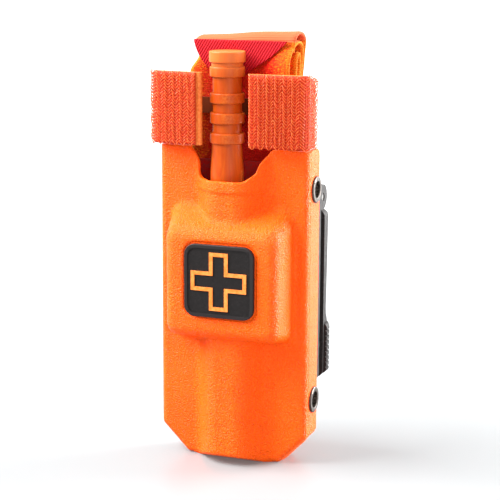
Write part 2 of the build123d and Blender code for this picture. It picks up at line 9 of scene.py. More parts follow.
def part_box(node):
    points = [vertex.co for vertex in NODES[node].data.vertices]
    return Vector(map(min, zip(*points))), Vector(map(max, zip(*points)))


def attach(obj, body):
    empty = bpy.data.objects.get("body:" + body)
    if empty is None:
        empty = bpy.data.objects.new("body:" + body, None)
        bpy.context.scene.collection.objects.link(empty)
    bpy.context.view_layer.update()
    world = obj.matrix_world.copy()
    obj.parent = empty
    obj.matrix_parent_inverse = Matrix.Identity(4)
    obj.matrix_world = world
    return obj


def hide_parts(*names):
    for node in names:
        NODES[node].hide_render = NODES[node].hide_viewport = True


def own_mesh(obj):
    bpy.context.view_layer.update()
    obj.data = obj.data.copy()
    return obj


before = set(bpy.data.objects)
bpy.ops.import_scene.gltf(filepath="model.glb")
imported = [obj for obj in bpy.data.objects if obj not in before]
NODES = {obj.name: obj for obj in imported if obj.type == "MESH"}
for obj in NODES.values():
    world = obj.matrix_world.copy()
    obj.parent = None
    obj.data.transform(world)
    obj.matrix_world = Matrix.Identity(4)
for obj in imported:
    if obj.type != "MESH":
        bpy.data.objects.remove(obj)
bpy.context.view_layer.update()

# A windlass tourniquet, folded and stowed in a rigid belt case with a belt clip.
# Shapes are worked out in millimetres, in the CAD frame, and become metres in build_mesh.
MM = 0.001


def node_box(node):
    """A CAD node's lowest and highest corners, in millimetres."""
    low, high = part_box(node)
    return np.array(low) / MM, np.array(high) / MM


# ---- Sizes, in millimetres -----------------------------------------------------
SHELL_LOW, SHELL_HIGH = node_box("front_shell")
CASE_HALF = SHELL_HIGH[0]
CASE_HEIGHT = SHELL_HIGH[2]
CASE_BACK = SHELL_HIGH[1]
CASE_FRONT = -CASE_BACK
CASE_EDGE = 2.3
WALL = 1.8
CORNER_CUT = 10.4
# A wall that leans has two places, one at its front and one at its back.
PANEL_FRONT = SHELL_LOW[1]
PANEL_SIDE = (20.7, 23.2)
PANEL_TOP = (86.6, 93.6)
PANEL_FOOT = (48.4, 45.2)
CHANNEL_FRONT = CASE_FRONT - 8.6
CHANNEL_SIDE = (6.0, 13.25)
CHANNEL_RISE = 3.4
# The groove along the case's sides: how far behind the front it fades in and out, the
# height that it starts at, and its depth.
SEAM_FADE_IN = (2.0, 2.3)
SEAM_FADE_OUT = (2.6, 2.9)
SEAM_FOOT = (15.8, 16.6)
SEAM_DEPTH = 0.3
# Above this height the channel stands out by a lip.
LIP_FOOT = (99.4, 99.9)
LIP_HEIGHT = 0.55
# The thumb notch is a slot below and a V above.
NOTCH_FLOOR = 103.6
NOTCH_LEFT = -12.3
NOTCH_RIGHT = 10.4
NOTCH_V_FLOOR = 104.5
BADGE_MIDDLE = 69.0
BADGE_RECESS_HALF = 13.8
BADGE_RECESS_DEPTH = 0.5
BADGE_RECESS_CORNER = 4.8
BADGE_RIM = (11.4, 11.8)
EYELET_Y = CASE_FRONT + 8.0
EYELET_HEIGHTS = (23.2, 100.2)
EYELET_HOLE = 3.45
EYELET_HOLE_START = 20.0
FIXING_X = 14.0
FIXING_HEIGHTS = (54.0, 82.0)
FIXING_HOLE = 2.45
FIXING_SEAT = 4.3
FIXING_SEAT_DEPTH = 1.0
BACK_SHELL_FRONT = CASE_FRONT + 3.0
BULGE_BACK = node_box("back_shell")[1][1]
BULGE_SIDE = (22.3, 21.5)
BULGE_FOOT = 2.5
BULGE_CUT = 8.0
FLANGE_FOOT = 13.5
EAR_INNER = 24.4
EAR_TOP = 113.5
WEBBING_HALF = 38.1 / 2
WEBBING_THICK = 1.2
RIBBON_WIDTH = 18.6
RIBBON_THICK = 0.7
HOOK_TAPE_THICK = 0.75


# ---- Meshes ------------------------------------------------------------------
def build_mesh(name, points, faces, body, material, uv=None):
    """A smooth-shaded object from points in millimetres, riding on a CAD body."""
    mesh = bpy.data.meshes.new(name)
    mesh.from_pydata((np.asarray(points, float) * MM).tolist(), [], [list(f) for f in faces])
    mesh.polygons.foreach_set("use_smooth", [True] * len(mesh.polygons))
    if uv is not None:
        layer = mesh.uv_layers.new(name="weave")
        corner = np.zeros(len(mesh.loops), int)
        mesh.loops.foreach_get("vertex_index", corner)
        layer.data.foreach_set("uv", np.asarray(uv, float)[corner].ravel())
    mesh.materials.append(material)
    mesh.update()
    piece = bpy.data.objects.new(name, mesh)
    bpy.context.scene.collection.objects.link(piece)
    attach(piece, body)
    return piece


def meet(a, b, radius):
    """The distance to where two shapes overlap, with the edge between them rounded."""
    corner = np.hypot(np.maximum(a + radius, 0), np.maximum(b + radius, 0))
    return np.minimum(np.maximum(a, b), -radius) + corner


def join(a, b, radius):
    """The distance to two shapes together, with the corner between them filled."""
    corner = np.hypot(np.maximum(radius - a, 0), np.maximum(radius - b, 0))
    return np.maximum(np.minimum(a, b), radius) - corner


def ease(value, low, high):
    """0 below low, 1 above high, and smooth between."""
    t = np.clip((value - low) / (high - low), 0, 1)
    return t * t * (3 - 2 * t)


def corner_slices(corner, sizes):
    """The grid's values at one corner of every cell."""
    return tuple(slice(c, c + n) for c, n in zip(corner, sizes))


def surface_net(field, low, high, cell):
    """The zero surface of a distance field inside a box, as points and quads."""
    axes = [np.arange(low[i], high[i] + cell, cell) for i in range(3)]
    value = field(*np.meshgrid(*axes, indexing="ij"))
    inside = value < 0
    sizes = tuple(n - 1 for n in value.shape)
    total = np.zeros(sizes + (3,))
    count = np.zeros(sizes)
    for axis in range(3):
        others = [i for i in range(3) if i != axis]
        for side in ((0, 0), (0, 1), (1, 0), (1, 1)):
            start = [0, 0, 0]
            start[others[0]], start[others[1]] = side
            end = list(start)
            end[axis] = 1
            a = value[corner_slices(start, sizes)]
            b = value[corner_slices(end, sizes)]
            crossed = (a < 0) != (b < 0)
            share = np.where(crossed, a / np.where(crossed, a - b, 1), 0)
            for i in range(3):
                step = share if i == axis else start[i]
                total[..., i] += np.where(crossed, step, 0)
            count += crossed
    used = count > 0
    index = np.full(sizes, -1)
    index[used] = np.arange(used.sum())
    place = np.stack(np.nonzero(used), -1) + total[used] / count[used][:, None]
    points = place * cell + np.asarray(low, float)
    quads = []
    for axis in range(3):
        b, c = (axis + 1) % 3, (axis + 2) % 3
        keep = [slice(1, n) for n in sizes]
        keep[axis] = slice(0, sizes[axis])
        after = [slice(k.start, k.stop) for k in keep]
        after[axis] = slice(1, sizes[axis] + 1)
        here, there = inside[tuple(keep)], inside[tuple(after)]
        at = np.stack(np.nonzero(here != there), -1)
        at[:, b] += 1
        at[:, c] += 1
        outward = inside[tuple(at.T)]
        step_b, step_c = np.eye(3, dtype=int)[b], np.eye(3, dtype=int)[c]
        ring = [at, at - step_b, at - step_b - step_c, at - step_c]
        quad = np.stack([index[tuple(r.T)] for r in ring], -1)
        quads.append(np.where(outward[:, None], quad[:, ::-1], quad))
    return points, np.concatenate(quads)[:, ::-1]


def settle(field, points, cell, rounds=6):
    """Moves the points of a surface net onto the field's exact zero surface."""
    small = 0.02
    for _ in range(rounds):
        value = field(*points.T)
        slope = np.stack([(field(*(points + step).T) - field(*(points - step).T)) / (2 * small)
                          for step in np.eye(3) * small], -1)
        length = np.maximum(np.linalg.norm(slope, axis=1), 0.3)
        move = -slope * (value / length ** 2)[:, None]
        points = points + np.clip(move, -0.4 * cell, 0.4 * cell)
    return points


def moulded(name, field, low, high, cell, body, material):
    """A moulded shell whose shape is given by a distance field."""
    points, quads = surface_net(field, low, high, cell)
    return build_mesh(name, settle(field, points, cell), quads.tolist(), body, material)


# ---- Materials ---------------------------------------------------------------
def colour(red, green, blue):
    """A linear colour from the 0 to 255 values that a screen shows."""
    parts = [c / 255 for c in (red, green, blue)]
    return tuple(c / 12.92 if c <= 0.04045 else ((c + 0.055) / 1.055) ** 2.4 for c in parts) + (1,)


class Shader:
    """A node material built up in code, with its coordinates in millimetres."""

    def __init__(self, name, base, roughness, metallic=0.0, specular=0.5, uv=False):
        self.material = bpy.data.materials.new(name)
        self.material.use_nodes = True
        self.tree = self.material.node_tree
        self.surface = self.tree.nodes["Principled BSDF"]
        self.surface.inputs["Base Color"].default_value = base
        self.surface.inputs["Roughness"].default_value = roughness
        self.surface.inputs["Metallic"].default_value = metallic
        self.surface.inputs["Specular IOR Level"].default_value = specular
        place = self.node("ShaderNodeTexCoord").outputs["UV" if uv else "Object"]
        self.place = self.vector("MULTIPLY", place, (1000, 1000, 1000))
        self.normal = None

    def node(self, kind, **settings):
        """A new node of one kind, with its settings."""
        made = self.tree.nodes.new(kind)
        for key, value in settings.items():
            setattr(made, key, value)
        return made

    def feed(self, socket, value):
        """Links a socket or sets its constant."""
        if isinstance(value, bpy.types.NodeSocket):
            self.tree.links.new(value, socket)
        else:
            socket.default_value = value

    def vector(self, operation, a, b):
        """A sum on two vectors."""
        made = self.node("ShaderNodeVectorMath", operation=operation)
        self.feed(made.inputs[0], a)
        self.feed(made.inputs[1], b)
        return made.outputs[0]

    def maths(self, operation, a, b=0.0):
        """A sum on one or two numbers."""
        made = self.node("ShaderNodeMath", operation=operation)
        for socket, value in zip(made.inputs, (a, b)):
            self.feed(socket, value)
        return made.outputs[0]

    def split(self, vector=None):
        """A vector's three parts, or those of the place on the piece."""
        made = self.node("ShaderNodeSeparateXYZ")
        self.feed(made.inputs[0], vector or self.place)
        return made.outputs

    def stretched(self, scale):
        """The place on the piece, with each axis scaled."""
        return self.vector("MULTIPLY", self.place, scale)

    def noise(self, scale, detail=3.0, rough=0.55, place=None, distort=0.0):
        """Cloudy noise between 0 and 1, with about scale clouds to a millimetre."""
        made = self.node("ShaderNodeTexNoise")
        self.feed(made.inputs["Vector"], place or self.place)
        made.inputs["Scale"].default_value = scale
        made.inputs["Detail"].default_value = detail
        made.inputs["Roughness"].default_value = rough
        made.inputs["Distortion"].default_value = distort
        return made.outputs["Fac"]

    def cells(self, scale, place=None, feature="F1"):
        """The distance from the middle of the nearest of many scattered cells."""
        made = self.node("ShaderNodeTexVoronoi", feature=feature)
        self.feed(made.inputs["Vector"], place or self.place)
        made.inputs["Scale"].default_value = scale
        return made.outputs["Distance"]

    def steps(self, value, low, high, out_low=0.0, out_high=1.0):
        """A smooth change from out_low to out_high as value goes from low to high."""
        made = self.node("ShaderNodeMapRange", interpolation_type="SMOOTHSTEP")
        for socket, given in zip(made.inputs, (value, low, high, out_low, out_high)):
            self.feed(socket, given)
        return made.outputs[0]

    def blend(self, share, a, b):
        """The first colour where share is 0, the second where it is 1."""
        made = self.node("ShaderNodeMix", data_type="RGBA")
        self.feed(made.inputs["Factor"], share)
        self.feed(made.inputs[6], a)
        self.feed(made.inputs[7], b)
        return made.outputs[2]

    def bump(self, height, depth, strength):
        """Adds relief, depth in millimetres, over what is there already."""
        made = self.node("ShaderNodeBump")
        made.inputs["Strength"].default_value = strength
        made.inputs["Distance"].default_value = depth * MM
        self.feed(made.inputs["Height"], height)
        if self.normal is not None:
            self.feed(made.inputs["Normal"], self.normal)
        self.normal = made.outputs[0]
        self.feed(self.surface.inputs["Normal"], self.normal)

    def set(self, socket, value):
        """Feeds one of the surface's inputs."""
        self.feed(self.surface.inputs[socket], value)

    def glow_through(self, share, radius):
        """Lets light through below the surface, by a radius for each colour, in metres."""
        self.set("Subsurface Weight", share)
        self.set("Subsurface Radius", radius)

    def fibre_sheen(self, weight, tint, roughness=0.4):
        """The soft sheen of fibres."""
        self.set("Sheen Weight", weight)
        self.set("Sheen Tint", tint)
        self.set("Sheen Roughness", roughness)

    def edge_wear(self, amount):
        """Up to amount on sharp outer edges, broken up by noise, and 0 on flats."""
        sharp = self.node("ShaderNodeNewGeometry").outputs["Pointiness"]
        worn = self.steps(sharp, 0.515, 0.56)
        return self.maths("MULTIPLY", worn, self.steps(self.noise(1.4), 0.35, 0.65, 0.0, amount))


def case_plastic():
    """Thermoformed sheet with a fine leathery grain."""
    s = Shader("case_plastic", colour(250, 88, 4), 0.36, specular=0.15)
    grain = s.noise(1.9, 3.0, 0.6)
    pebble = s.cells(2.0, feature="SMOOTH_F1")
    tint = s.blend(s.steps(grain, 0.3, 0.7), colour(250, 74, 2), colour(255, 96, 8))
    broad = s.steps(s.noise(0.045, 2.0), 0.35, 0.65)
    s.set("Base Color", s.blend(s.maths("MULTIPLY", broad, 0.3), tint, colour(252, 98, 10)))
    s.set("Roughness", s.steps(s.noise(0.7, 3.0), 0.3, 0.7, 0.32, 0.42))
    s.bump(pebble, 0.45, 0.9)
    s.bump(grain, 0.55, 0.9)
    s.glow_through(0.06, (0.0012, 0.0004, 0.0002))
    return s.material


def moulded_orange(name, base, light, roughness, rear=False):
    """Smooth injection-moulded nylon with faint flow marks and fine scuffs.

    It has a painted highlight that makes it paler near its top and, with rear, a painted shade that
    makes it brown towards its back.
    """
    s = Shader(name, base, roughness, specular=0.16)
    flow = s.noise(0.25, 3.0, 0.5, s.stretched((1, 1, 0.25)), 1.2)
    tint = s.blend(s.steps(flow, 0.35, 0.7), base, light)
    tint = s.blend(s.edge_wear(0.3), tint, colour(250, 160, 84))
    _, depth, height = s.split()
    # Painted highlight: paler towards the top.
    tint = s.blend(s.steps(height, 138, 147, 0.0, 0.45), tint, colour(222, 118, 56))
    # Painted shade: brown towards the back.
    if rear:
        tint = s.blend(s.steps(depth, -4.0, -1.0), tint, colour(96, 42, 18))
    s.set("Base Color", tint)
    scuff = s.noise(2.2, 5.0, 0.7, s.stretched((1, 1, 3)))
    s.set("Roughness", s.steps(scuff, 0.3, 0.75, roughness - 0.06, roughness + 0.14))
    s.bump(s.noise(1.1, 3.0), 0.05, 0.5)
    s.bump(scuff, 0.012, 0.6)
    s.glow_through(0.08, (0.0016, 0.0006, 0.0002))
    return s.material


def textured_nylon(name, base, light, roughness):
    """Dark grained nylon with grey wear on its edges."""
    s = Shader(name, base, roughness, specular=0.1)
    grain = s.noise(2.6, 4.0, 0.6)
    tint = s.blend(s.steps(grain, 0.35, 0.7), base, light)
    s.set("Base Color", s.blend(s.edge_wear(0.4), tint, colour(62, 58, 57)))
    s.set("Roughness", s.steps(s.noise(0.5, 3.0), 0.3, 0.7, roughness - 0.07, roughness + 0.08))
    s.bump(grain, 0.05, 0.8)
    s.bump(s.cells(3.2), 0.03, 0.5)
    return s.material


def dark_metal(name, base, bright, roughness):
    """Blackened metal, rubbed bright along its edges, with fine turning marks."""
    s = Shader(name, base, roughness, metallic=0.9)
    cloud = s.noise(0.8, 4.0)
    tint = s.blend(s.steps(cloud, 0.35, 0.65), base, colour(74, 66, 60))
    s.set("Base Color", s.blend(s.edge_wear(0.9), tint, bright))
    s.set("Roughness", s.steps(s.noise(3.0, 4.0), 0.3, 0.7, roughness - 0.08, roughness + 0.12))
    s.bump(s.noise(5.0, 3.0, 0.6, s.stretched((0.4, 1, 1))), 0.012, 0.7)
    return s.material


def badge_rubber():
    """Moulded rubber: a fine woven field inside a smooth rim."""
    s = Shader("badge_rubber", colour(38, 34, 33), 0.66, specular=0.15)
    x, _, z = s.split()
    from_middle = s.maths("MAXIMUM", s.maths("ABSOLUTE", x),
                          s.maths("ABSOLUTE", s.maths("SUBTRACT", z, BADGE_MIDDLE)))
    rim = s.steps(from_middle, *BADGE_RIM)
    turn = 7.5
    ribs = s.maths("SINE", s.maths("MULTIPLY", s.maths("ADD", x, z), turn))
    cross_ribs = s.maths("SINE", s.maths("MULTIPLY", s.maths("SUBTRACT", x, z), turn))
    weave = s.maths("MULTIPLY", s.maths("MULTIPLY", ribs, cross_ribs), s.maths("SUBTRACT", 1.0, rim))
    dust = s.steps(s.noise(1.2, 4.0), 0.45, 0.75, 0.0, 0.35)
    field = s.blend(dust, colour(22, 19, 19), colour(38, 34, 34))
    s.set("Base Color", s.blend(s.maths("MULTIPLY", rim, 0.8), field, colour(38, 34, 34)))
    s.set("Roughness", s.steps(rim, 0.0, 1.0, 0.7, 0.48))
    s.bump(weave, 0.05, 0.7)
    s.bump(s.noise(3.0, 4.0), 0.03, 0.7)
    return s.material


def badge_mark():
    """Raised rubber in a second colour, slightly mottled."""
    s = Shader("badge_mark", colour(221, 117, 32), 0.55, specular=0.4)
    blot = s.steps(s.noise(0.9, 4.0), 0.35, 0.7)
    s.set("Base Color", s.blend(blot, colour(216, 109, 26), colour(221, 134, 59)))
    s.bump(s.noise(2.4, 4.0), 0.05, 0.7)
    return s.material


def soft_rubber():
    """Matt black rubber."""
    s = Shader("soft_rubber", colour(34, 32, 32), 0.8, specular=0.3)
    dust = s.steps(s.noise(1.5, 4.0), 0.5, 0.8, 0.0, 0.4)
    s.set("Base Color", s.blend(dust, colour(34, 32, 32), colour(70, 66, 64)))
    s.bump(s.noise(3.0, 4.0), 0.05, 0.8)
    return s.material


def glue_film():
    """Clear yellowish adhesive with trapped specks."""
    s = Shader("glue_film", colour(206, 190, 150), 0.4, specular=0.5)
    speck = s.steps(s.cells(0.9), 0.05, 0.16)
    s.set("Base Color", s.blend(speck, colour(230, 220, 190), colour(200, 184, 146)))
    s.bump(s.noise(1.2, 2.0), 0.04, 0.6)
    return s.material


def woven_tape(name, low, high, pitch, depth, sheen=0.3, rough=0.75):
    """Close woven webbing: ribs along and across, with a varied colour."""
    s = Shader(name, low, rough, specular=0.3, uv=True)
    across, along, _ = s.split()
    turn = 2 * math.pi / pitch
    rib = s.maths("SINE", s.maths("MULTIPLY", along, turn))
    every_other = s.maths("SIGN", s.maths("SINE", s.maths("MULTIPLY", along, turn / 2)))
    shift = s.maths("MULTIPLY", every_other, math.pi / 2)
    column = s.maths("SINE", s.maths("ADD", s.maths("MULTIPLY", across, 0.75 * turn), shift))
    cloth = s.maths("ADD", s.maths("MULTIPLY", rib, 0.6), s.maths("MULTIPLY", column, 0.4))
    fuzz = s.noise(2.0, 5.0, 0.7)
    mix = s.maths("ADD", s.steps(cloth, -0.8, 0.9, 0.0, 0.6), s.steps(fuzz, 0.35, 0.7, 0.0, 0.4))
    s.set("Base Color", s.blend(mix, low, high))
    s.bump(cloth, depth, 0.8)
    s.bump(fuzz, 0.12, 0.6)
    s.fibre_sheen(sheen, high)
    return s.material


def loop_webbing():
    """Webbing faced with loop pile, orange at its edges, with painted shade that makes it red in the
    middle and darker lower down, and a painted highlight on its flattened top.
    """
    s = Shader("loop_webbing", colour(216, 48, 4), 0.85, specular=0.15, uv=True)
    across, along, _ = s.split()
    spot = s.vector("MULTIPLY", s.node("ShaderNodeTexCoord").outputs["Object"], (1000, 1000, 1000))
    height = s.split(spot)[2]
    from_middle = s.maths("ABSOLUTE", across)
    clump = s.noise(1.5, 4.0, 0.65, distort=0.4)
    strand = s.cells(1.9, s.vector("MULTIPLY", s.place, (1.0, 1.6, 1.0)))
    rib = s.maths("SINE", s.maths("MULTIPLY", along, 2 * math.pi / 0.75))
    pile = s.maths("ADD", s.steps(clump, 0.32, 0.72), s.maths("MULTIPLY", strand, -0.4))
    # Painted shade: the pile darkens below these heights.
    raised = s.steps(height, 118, 142)
    deep = s.blend(raised, colour(177, 4, 2), colour(203, 9, 2))
    speck = s.blend(raised, colour(207, 34, 9), colour(221, 59, 5))
    middle = s.blend(s.steps(pile, 0.2, 0.85), deep, speck)
    side = s.blend(s.steps(pile, 0.0, 0.8), colour(212, 68, 2), colour(221, 115, 7))
    edging = s.maths("ADD", from_middle, s.steps(clump, 0.3, 0.7, -2.0, 2.0))
    # Painted shade: red in the middle, orange towards the edges.
    tint = s.blend(s.steps(edging, 10.0, 18.5), middle, side)
    selvedge = s.steps(from_middle, WEBBING_HALF - 1.3, WEBBING_HALF - 0.8)
    tint = s.blend(selvedge, tint, colour(221, 115, 19))
    # Painted highlight on the crest, where the pile is also flattened.
    crest_highlight_and_flat_pile = s.steps(height, 150.9, 151.9)
    s.set("Base Color", s.blend(crest_highlight_and_flat_pile, tint, colour(194, 82, 49)))
    s.bump(rib, 0.12, 0.5)
    s.bump(s.maths("MULTIPLY", pile, s.maths("SUBTRACT", 1.0, crest_highlight_and_flat_pile)), 0.45, 0.9)
    s.fibre_sheen(0.25, colour(221, 99, 31), 0.35)
    return s.material


def tab_webbing():
    """Crimson tape: a fine slanted weave above and a smoother end below."""
    s = Shader("tab_webbing", colour(183, 5, 28), 0.7, specular=0.1, uv=True)
    across, along, _ = s.split()
    column = s.maths("SINE", s.maths("MULTIPLY", across, 2 * math.pi / 0.78))
    slant = s.maths("SUBTRACT", s.maths("MULTIPLY", along, 2 * math.pi / 1.7),
                    s.maths("MULTIPLY", across, 2 * math.pi / 1.05))
    dash = s.maths("ADD", s.maths("SINE", slant), s.maths("MULTIPLY", column, 0.25))
    upper = s.steps(along, 4.0, 9.0)
    shown = s.maths("MULTIPLY", s.steps(dash, 0.1, 1.0), s.steps(upper, 0.0, 1.0, 0.15, 0.9))
    fuzz = s.steps(s.noise(1.6, 4.0), 0.35, 0.7, 0.0, 0.25)
    base = s.blend(fuzz, colour(146, 0, 9), colour(165, 2, 18))
    s.set("Base Color", s.blend(shown, base, colour(188, 36, 51)))
    s.bump(dash, 0.12, 0.8)
    s.bump(s.noise(2.4, 4.0), 0.06, 0.6)
    s.fibre_sheen(0.04, colour(197, 72, 78))
    return s.material


def hook_nylon():
    """The hooks' clear orange monofilament."""
    s = Shader("hook_nylon", colour(209, 72, 29), 0.34, specular=0.3)
    s.set("Base Color", s.blend(s.steps(s.noise(0.9, 3.0), 0.3, 0.7), colour(205, 66, 18),
                                colour(213, 100, 40)))
    s.glow_through(0.25, (0.001, 0.0005, 0.0003))
    return s.material


def floor_paper():
    """A pale studio floor that glows more with distance, so that it has no horizon."""
    s = Shader("floor_paper", colour(118, 118, 118), 0.36, specular=0.3)
    s.set("Base Color", s.blend(s.steps(s.noise(0.01, 2.0), 0.3, 0.7), colour(116, 118, 119),
                                colour(120, 122, 123)))
    s.set("Emission Color", (1, 1, 1, 1))
    across, behind, _ = s.split()
    squared = s.maths("ADD", s.maths("MULTIPLY", across, across), s.maths("MULTIPLY", behind, behind))
    distance = s.maths("SQRT", squared)
    s.set("Emission Strength", s.steps(distance, 90.0, 700.0, 0.10, 0.95))
    return s.material


CASE = case_plastic()
# The rod and the holder take the painted highlight near the top, and the holder also the painted
# shade at its back.
ROD = moulded_orange("rod_plastic", colour(157, 56, 2), colour(170, 70, 6), 0.36)
HOLDER = moulded_orange("holder_plastic", colour(186, 77, 22), colour(203, 95, 35), 0.4, rear=True)
CLIP = textured_nylon("clip_nylon", colour(24, 22, 22), colour(38, 35, 34), 0.5)
# The plate's deep crimson is partly its colour and partly a painted shade, the red shade inside the
# case; the buckle shares it.
PLATE = textured_nylon("plate_plastic", colour(150, 12, 11), colour(178, 20, 15), 0.5)
DARK_METAL = dark_metal("gunmetal", colour(48, 43, 40), colour(150, 138, 128), 0.36)
BLACK_STEEL = dark_metal("black_steel", colour(34, 33, 33), colour(120, 118, 116), 0.34)
SPRING = dark_metal("spring_steel", colour(120, 118, 116), colour(190, 190, 190), 0.28)
RUBBER = soft_rubber()
BAND = loop_webbing()
TAB = tab_webbing()
RIBBON = woven_tape("ribbon_webbing", colour(200, 60, 10), colour(246, 110, 34), 0.7, 0.12)
HOOK_TAPE = woven_tape("hook_tape", colour(177, 37, 4), colour(196, 55, 12), 0.8, 0.14,
                       sheen=0.05, rough=0.7)
HOOKS = hook_nylon()

NODE_MATERIALS = {
    "side_eyelets_right": DARK_METAL, "side_eyelets_left": DARK_METAL,
    "badge_adhesive": glue_film(), "badge_pad": badge_rubber(), "badge_cross": badge_mark(),
    "belt_clip_base": CLIP, "belt_clip_leaf": CLIP, "leaf_cover": CLIP,
    "release_lever_right": CLIP, "release_lever_left": CLIP, "lock_slider": CLIP,
    "belt_spacer": CLIP, "rubber_washers": RUBBER,
    "binding_posts": BLACK_STEEL, "clip_screws": BLACK_STEEL, "hinge_pin": BLACK_STEEL,
    "latch_bar": BLACK_STEEL, "spacer_pins": BLACK_STEEL, "cover_screws": BLACK_STEEL,
    "windlass_rod": ROD, "windlass_clip": HOLDER, "stabilization_plate": PLATE,
    "routing_buckle": PLATE,
}


def finish_nodes():
    """Gives each CAD node that stays its material."""
    for node, material in NODE_MATERIALS.items():
        slots = NODES[node].material_slots
        for slot in slots:
            slot.material = material
        if not slots:
            NODES[node].data.materials.append(material)


# ---- Case --------------------------------------------------------------------
def tray_outline(x, z, inset):
    """The distance from the case's outline, seen from the front, made smaller by inset."""
    half = CASE_HALF - inset
    cut = CORNER_CUT - inset * (2 - math.sqrt(2))
    slant = (np.abs(x) - z - (half - cut) + inset) / math.sqrt(2)
    sides = meet(np.abs(x) - half, slant, 0.9)
    return meet(sides, inset - z, 0.7)


def leaning(across, y, at_front, at_back, front_y, back_y):
    """The distance outside a wall that leans between two depths."""
    slope = (at_back - at_front) / (back_y - front_y)
    return (across - at_front - slope * (y - front_y)) / math.sqrt(1 + slope ** 2)


def raised_panel(x, y, z):
    """The distance from the raised square panel."""
    side = leaning(np.abs(x), y, *PANEL_SIDE, PANEL_FRONT, CASE_FRONT)
    top = leaning(z, y, *PANEL_TOP, PANEL_FRONT, CASE_FRONT)
    low = leaning(-z, y, -PANEL_FOOT[0], -PANEL_FOOT[1], PANEL_FRONT, CASE_FRONT)
    outline = meet(meet(side, top, 4.5), low, 4.0)
    return meet(outline, PANEL_FRONT - y, 3.2)


def windlass_channel(x, y, z):
    """The distance from the half-hexagon channel that holds the rod."""
    side = leaning(np.abs(x), y, *CHANNEL_SIDE, CHANNEL_FRONT, CASE_FRONT)
    ridge = meet(side, CHANNEL_FRONT - y, 2.4)
    slope = CHANNEL_RISE / (CASE_FRONT - CHANNEL_FRONT)
    under = (slope * (CASE_FRONT - y) - z) / math.sqrt(1 + slope ** 2)
    return np.maximum(meet(ridge, under, 0.9), tray_outline(x, z, 0.0))


def front_skin(x, y, z):
    """The distance from the front shell's outer skin."""
    tray = meet(tray_outline(x, z, 0.0), CASE_FRONT - y, CASE_EDGE)
    skin = join(tray, windlass_channel(x, y, z), 1.7)
    skin = join(skin, raised_panel(x, y, z), 1.5)
    lip = ease(z, *LIP_FOOT) * ease(-y, -CASE_FRONT + 0.1, -CASE_FRONT + 1.4)
    seam = ease(y, CASE_FRONT + SEAM_FADE_IN[0], CASE_FRONT + SEAM_FADE_IN[1])
    seam = seam * ease(-y, -CASE_FRONT - SEAM_FADE_OUT[1], -CASE_FRONT - SEAM_FADE_OUT[0])
    return skin - LIP_HEIGHT * lip + SEAM_DEPTH * seam * ease(z, *SEAM_FOOT)


def leaning_edge(across, start, slope, up):
    """The distance beyond a straight edge that leans outwards by slope as it goes up."""
    return (across - start - slope * up) / math.hypot(1, slope)


def thumb_notch(x, z):
    """The distance from the notch in the front's top edge: a slot below, a V above."""
    slot = meet(meet(NOTCH_LEFT - x, x - NOTCH_RIGHT, 1.0), NOTCH_FLOOR - z, 2.0)
    slot = meet(slot, leaning_edge(x, 6.4, 1.25, z - NOTCH_FLOOR), 1.0)
    left = leaning_edge(-x, 12.4, 0.78, z - 109.4)
    right = leaning_edge(x, NOTCH_RIGHT, 0.72, z - 108.9)
    return join(slot, meet(np.maximum(left, right), NOTCH_V_FLOOR - z, 1.0), 0.8)


def eyelet_holes(x, y, z):
    """The distance from the holes for the eyelets' barrels."""
    holes = [np.hypot(y - EYELET_Y, z - height) - EYELET_HOLE for height in EYELET_HEIGHTS]
    return np.maximum(np.minimum(*holes), EYELET_HOLE_START - np.abs(x))


def front_shell_field(x, y, z):
    """The distance from the front shell's wall."""
    skin = front_skin(x, y, z)
    wall = np.maximum(skin, -(skin + WALL))
    ends = meet(z - CASE_HEIGHT, y - CASE_BACK, 3.0)
    wall = meet(wall, ends, 0.5)
    notch = np.maximum(thumb_notch(x, z), y - CASE_FRONT - WALL - 0.6)
    wall = meet(wall, -notch, 0.55)
    flat = BADGE_RECESS_HALF - BADGE_RECESS_CORNER
    square = np.hypot(np.maximum(np.abs(x) - flat, 0),
                      np.maximum(np.abs(z - BADGE_MIDDLE) - flat, 0)) - BADGE_RECESS_CORNER
    recess = np.maximum(square, y - PANEL_FRONT - BADGE_RECESS_DEPTH)
    return np.maximum(np.maximum(wall, -recess), -eyelet_holes(x, y, z))


def back_shell_field(x, y, z):
    """The distance from the back shell's wall."""
    tray = meet(tray_outline(x, z, WALL + 0.05), y - CASE_BACK, 0.8)
    side = leaning(np.abs(x), y, *BULGE_SIDE, CASE_BACK - WALL, BULGE_BACK)
    slant = (np.abs(x) - z - BULGE_SIDE[0] + BULGE_CUT + BULGE_FOOT) / math.sqrt(2)
    bulge = meet(meet(side, slant, 2.0), BULGE_FOOT - z, 2.0)
    bulge = meet(bulge, y - BULGE_BACK, 1.8)
    skin = join(tray, bulge, 1.2)
    wall = np.maximum(skin, -(skin + WALL))
    wall = meet(wall, BACK_SHELL_FRONT - y, 0.4)
    top = np.where(np.abs(x) > EAR_INNER, z - EAR_TOP, z - CASE_HEIGHT)
    wall = meet(wall, top, 0.5)
    below_flange = np.maximum(z - FLANGE_FOOT, y - CASE_BACK + WALL)
    wall = np.maximum(wall, -below_flange)
    for across in (-FIXING_X, FIXING_X):
        for height in FIXING_HEIGHTS:
            from_axis = np.hypot(x - across, z - height)
            wall = np.maximum(wall, -np.maximum(from_axis - FIXING_HOLE, CASE_BACK - y))
            from_seat = np.abs(y - BULGE_BACK + WALL) - FIXING_SEAT_DEPTH
            seat = np.maximum(from_axis - FIXING_SEAT, from_seat)
            wall = np.maximum(wall, -seat)
    return np.maximum(wall, -eyelet_holes(x, y, z))


